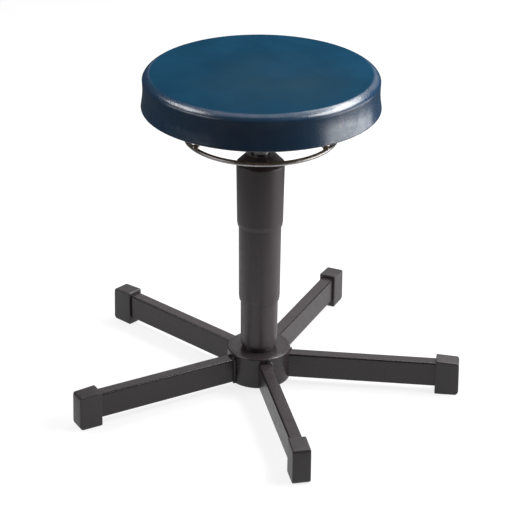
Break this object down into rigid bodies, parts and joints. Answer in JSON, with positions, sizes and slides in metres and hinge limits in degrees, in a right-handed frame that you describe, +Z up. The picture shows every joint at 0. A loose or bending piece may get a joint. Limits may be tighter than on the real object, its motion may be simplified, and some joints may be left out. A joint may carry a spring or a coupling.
{
  "type": "work stool",
  "caption": "Round moulded work stool on a telescoping gas-lift column, with a release hoop under the seat and a low star base on block feet.",
  "frame": {"origin": "on the floor, where the column's axis meets the plane of the feet", "axes": "+Z up along the column, +X and +Y level; the picture looks along +Y, and the first leg points 6.3 degrees to the -Y side of +X"},
  "size_m": [0.5906, 0.5994, 0.5115],
  "materials": {
    "seat_skin": "satin",
    "base_paint": "satin",
    "cover_plastic": "satin",
    "foot_plastic": "matte",
    "hoop_zinc": "satin",
    "polished_steel": "polished",
    "bare_steel": "satin",
    "zinc_plate": "satin",
    "lift_paint": "gloss",
    "pan_paint": "satin",
    "guide_plastic": "satin",
    "alloy": "satin",
    "seal_rubber": "matte",
    "board_wood": "matte"
  },
  "bodies": {
    "base": {"hub_tube": "base_paint", "hub_top_ring": "base_paint", "hub_bottom_ring": "base_paint", "taper_bush": "bare_steel", "leg_1": "base_paint", "leg_2": "base_paint", "leg_3": "base_paint", "leg_4": "base_paint", "leg_5": "base_paint", "leg_welds": "base_paint", "foot_cap_1": "foot_plastic", "foot_cap_2": "foot_plastic", "foot_cap_3": "foot_plastic", "foot_cap_4": "foot_plastic", "foot_cap_5": "foot_plastic", "stand_tube": "lift_paint", "guide_bush": "guide_plastic", "lower_race": "bare_steel", "lower_sleeve": "cover_plastic"},
    "bearing": {"ball_cage": "guide_plastic", "bearing_balls": "polished_steel"},
    "rod": {"piston_rod": "bare_steel", "piston": "alloy", "piston_seal": "seal_rubber", "upper_race": "bare_steel", "shoulder_washer": "bare_steel", "rubber_buffer": "seal_rubber", "keeper_washer": "bare_steel", "retaining_clip": "bare_steel"},
    "seat": {"seat_pad": "seat_skin", "seat_board": "board_wood", "tee_nuts": "zinc_plate", "seat_screws": "zinc_plate", "screw_washers": "zinc_plate", "lever_housing": "pan_paint", "seat_plate": "pan_paint", "taper_socket": "pan_paint", "gas_cylinder": "polished_steel", "rod_guide": "alloy", "valve_body": "alloy", "upper_sleeve": "cover_plastic"},
    "middle_cover": {"middle_sleeve": "cover_plastic"},
    "hoop": {"release_hoop": "hoop_zinc", "hoop_spoke_1": "hoop_zinc", "hoop_spoke_2": "hoop_zinc", "hoop_spoke_3": "hoop_zinc", "press_boss": "hoop_zinc"},
    "button": {"release_button": "bare_steel"}
  },
  "joints": [
    {"name": "seat_swivel", "type": "hinge", "parent": "base", "child": "rod", "pos_m": [0, 0, 0.0251], "axis": [0, 0, 1], "continuous": true},
    {"name": "bearing_roll", "type": "hinge", "parent": "base", "child": "bearing", "pos_m": [0, 0, 0.019], "axis": [0, 0, 1], "continuous": true},
    {"name": "seat_lift", "type": "slide", "parent": "rod", "child": "seat", "axis": [0, 0, 1], "range_m": [-0.095, 0.035]},
    {"name": "cover_slide", "type": "slide", "parent": "base", "child": "middle_cover", "axis": [0, 0, 1], "range_m": [-0.0475, 0.0175]},
    {"name": "hoop_tilt", "type": "hinge", "parent": "seat", "child": "hoop", "pos_m": [0.04915, -0.02838, 0.44565], "axis": [-0.5, -0.866, 0], "range_deg": [0, 3], "stiffness_Nm_per_rad": 5, "springref_deg": -11.46},
    {"name": "button_press", "type": "slide", "parent": "seat", "child": "button", "axis": [0, 0, -1], "range_m": [0, 0.003]}
  ],
  "couplings": [
    {"joint": "bearing_roll", "follows": "seat_swivel", "ratio": 0.5},
    {"joint": "cover_slide", "follows": "seat_lift", "ratio": 0.5},
    {"joint": "button_press", "follows": "hoop_tilt", "m_per_rad": 0.05675}
  ]
}
